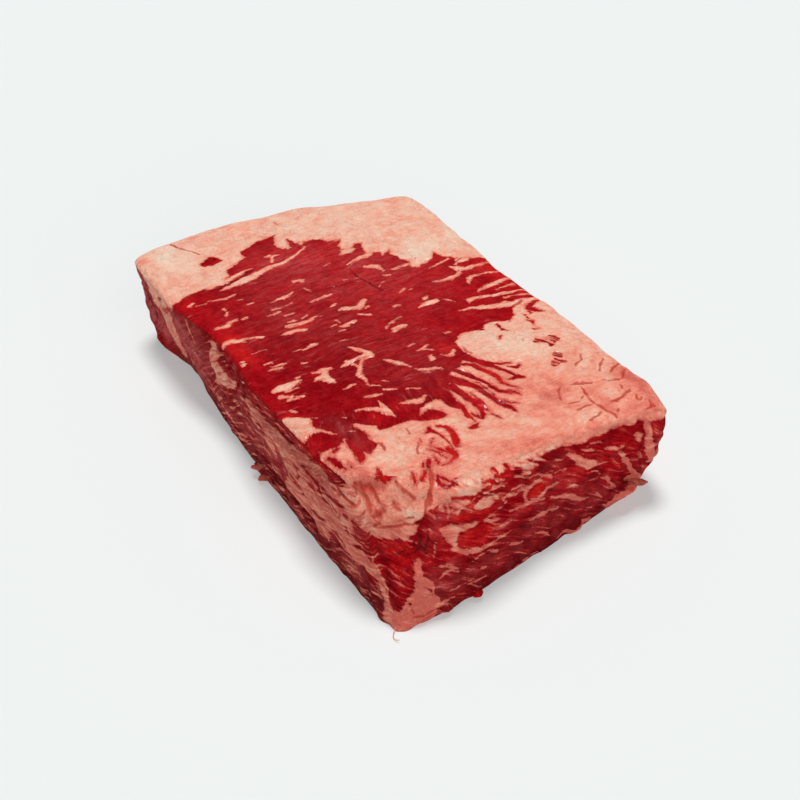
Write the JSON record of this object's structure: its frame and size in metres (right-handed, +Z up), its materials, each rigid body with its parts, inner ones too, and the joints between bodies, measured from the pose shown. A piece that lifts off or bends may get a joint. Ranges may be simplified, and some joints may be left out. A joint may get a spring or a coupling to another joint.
{
  "type": "raw beef striploin",
  "caption": "Boneless block of raw beef striploin with a flat underside, marbled lean on top and a fat cover at its ends.",
  "frame": {"origin": "middle of the underside, on the surface that the block lies on", "axes": "+X along the block towards its thicker near end, +Y across it towards its thinner side, +Z up"},
  "size_m": [0.3406, 0.2086, 0.0822],
  "materials": {
    "raw_beef": "moist, satin"
  },
  "bodies": {
    "root": {"striploin": "raw_beef"}
  },
  "joints": []
}
